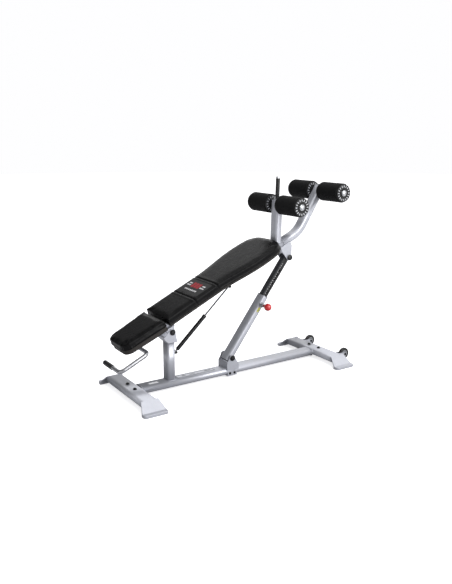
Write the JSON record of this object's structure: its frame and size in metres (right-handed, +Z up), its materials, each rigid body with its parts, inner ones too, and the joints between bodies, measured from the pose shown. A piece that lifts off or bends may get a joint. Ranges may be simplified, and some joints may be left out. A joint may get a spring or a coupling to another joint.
{
  "type": "decline sit up bench",
  "caption": "Adjustable decline sit-up bench: padded sloping bench on a pivot yoke, telescopic strut with pull pin, gas spring, foam leg rollers and transport wheels.",
  "frame": {"origin": "on the floor, under the middle of the bench's bounding box", "axes": "+X along the bench from the low head end to the roller end, +Y across it, +Z up"},
  "size_m": [1.7529, 0.68, 1.3004],
  "materials": {
    "silver_powder_coat": "satin metallic powder coat",
    "zinc_plated_steel": "satin",
    "chrome_plate": "polished",
    "dark_grey_steel": "satin",
    "black_steel": "gloss",
    "black_vinyl": "semi-gloss upholstery vinyl",
    "black_foam": "matte closed-cell foam",
    "black_rubber": "matte",
    "black_nylon": "satin",
    "plywood_board": "dark stained",
    "red_phenolic": "gloss"
  },
  "bodies": {
    "base": {"main_beam": "silver_powder_coat", "head_crossbar": "silver_powder_coat", "tail_crossbar": "silver_powder_coat", "head_foot_near": "silver_powder_coat", "head_foot_far": "silver_powder_coat", "tail_foot_near": "silver_powder_coat", "tail_foot_far": "silver_powder_coat", "head_bolt_near": "black_steel", "head_bolt_far": "black_steel", "tail_bolt_near": "black_steel", "tail_bolt_far": "black_steel", "post": "silver_powder_coat", "yoke": "silver_powder_coat", "yoke_pin": "black_steel", "strut_saddle": "silver_powder_coat", "saddle_strap": "silver_powder_coat", "strut_pin": "black_steel", "gas_lug_low": "silver_powder_coat", "wheel_fork_near": "silver_powder_coat", "wheel_fork_far": "silver_powder_coat", "wheel_axle_near": "black_steel", "wheel_axle_far": "black_steel"},
    "bench": {"rail": "silver_powder_coat", "pivot_hub": "silver_powder_coat", "curved_arm": "silver_powder_coat", "roller_post": "silver_powder_coat", "grip_bar": "chrome_plate", "grip_bar_rubber": "black_rubber", "roller_axle_low": "chrome_plate", "roller_axle_high": "chrome_plate", "seat_board": "plywood_board", "seat_pad": "black_vinyl", "seat_plate": "silver_powder_coat", "back_board": "plywood_board", "back_pad": "black_vinyl", "back_plate_low": "silver_powder_coat", "back_plate_high": "silver_powder_coat", "carry_handle": "zinc_plated_steel", "carry_handle_rubber": "black_rubber", "top_bracket": "silver_powder_coat", "top_pin": "black_steel", "gas_lug_high": "silver_powder_coat"},
    "strut_lower": {"strut_sleeve": "silver_powder_coat", "strut_barrel": "zinc_plated_steel", "strut_bush": "black_nylon", "pull_pin_housing": "zinc_plated_steel"},
    "mast": {"strut_mast": "dark_grey_steel"},
    "pull_pin": {"pull_pin": "red_phenolic"},
    "gas_tube": {"gas_cylinder": "black_steel"},
    "gas_rod": {"gas_rod": "chrome_plate"},
    "wheel_near": {"wheel_near": "black_rubber"},
    "wheel_far": {"wheel_far": "black_rubber"},
    "roller_low_near": {"roller_hub_low_near": "black_nylon", "roller_foam_low_near": "black_foam"},
    "roller_low_far": {"roller_hub_low_far": "black_nylon", "roller_foam_low_far": "black_foam"},
    "roller_high_near": {"roller_hub_high_near": "black_nylon", "roller_foam_high_near": "black_foam"},
    "roller_high_far": {"roller_hub_high_far": "black_nylon", "roller_foam_high_far": "black_foam"}
  },
  "joints": [
    {"name": "bench_tilt", "type": "hinge", "parent": "base", "child": "bench", "pos_m": [-0.472, 0, 0.3846], "axis": [0, -1, 0], "range_deg": [-20, 3]},
    {"name": "strut_swing", "type": "hinge", "parent": "base", "child": "strut_lower", "pos_m": [-0.0313, 0, 0.1356], "axis": [0, -1, 0], "range_deg": [-24.5, 3.8]},
    {"name": "mast_slide", "type": "slide", "parent": "strut_lower", "child": "mast", "axis": [0.601, 0, 0.7993], "range_m": [-0.169, 0.0255]},
    {"name": "gas_swing", "type": "hinge", "parent": "base", "child": "gas_tube", "pos_m": [-0.4276, 0, 0.237], "axis": [0, -1, 0], "range_deg": [-18.4, 2.9]},
    {"name": "gas_stroke", "type": "slide", "parent": "gas_tube", "child": "gas_rod", "axis": [0.7347, 0, 0.6784], "range_m": [-0.0515, 0.0082]},
    {"name": "pull_pin_slide", "type": "slide", "parent": "strut_lower", "child": "pull_pin", "axis": [0, -1, 0], "range_m": [0, 0.012], "stiffness_N_per_m": 900, "springref_m": -0.012},
    {"name": "roller_low_near_spin", "type": "hinge", "parent": "bench", "child": "roller_low_near", "pos_m": [0.3574, -0.152, 1.11793], "axis": [0, 1, 0], "continuous": true},
    {"name": "roller_low_far_spin", "type": "hinge", "parent": "bench", "child": "roller_low_far", "pos_m": [0.3574, 0.152, 1.11793], "axis": [0, 1, 0], "continuous": true},
    {"name": "roller_high_near_spin", "type": "hinge", "parent": "bench", "child": "roller_high_near", "pos_m": [0.70839, -0.152, 1.19148], "axis": [0, 1, 0], "continuous": true},
    {"name": "roller_high_far_spin", "type": "hinge", "parent": "bench", "child": "roller_high_far", "pos_m": [0.70839, 0.152, 1.19148], "axis": [0, 1, 0], "continuous": true},
    {"name": "wheel_near_spin", "type": "hinge", "parent": "base", "child": "wheel_near", "pos_m": [0.8344, -0.186, 0.0455], "axis": [0, 1, 0], "continuous": true},
    {"name": "wheel_far_spin", "type": "hinge", "parent": "base", "child": "wheel_far", "pos_m": [0.8344, 0.186, 0.0455], "axis": [0, 1, 0], "continuous": true}
  ],
  "couplings": [
    {"joint": "strut_swing", "follows": "bench_tilt", "ratio": 1.213},
    {"joint": "mast_slide", "follows": "bench_tilt", "m_per_rad": 0.4795},
    {"joint": "gas_swing", "follows": "bench_tilt", "ratio": 0.9081},
    {"joint": "gas_stroke", "follows": "bench_tilt", "m_per_rad": 0.1456}
  ]
}
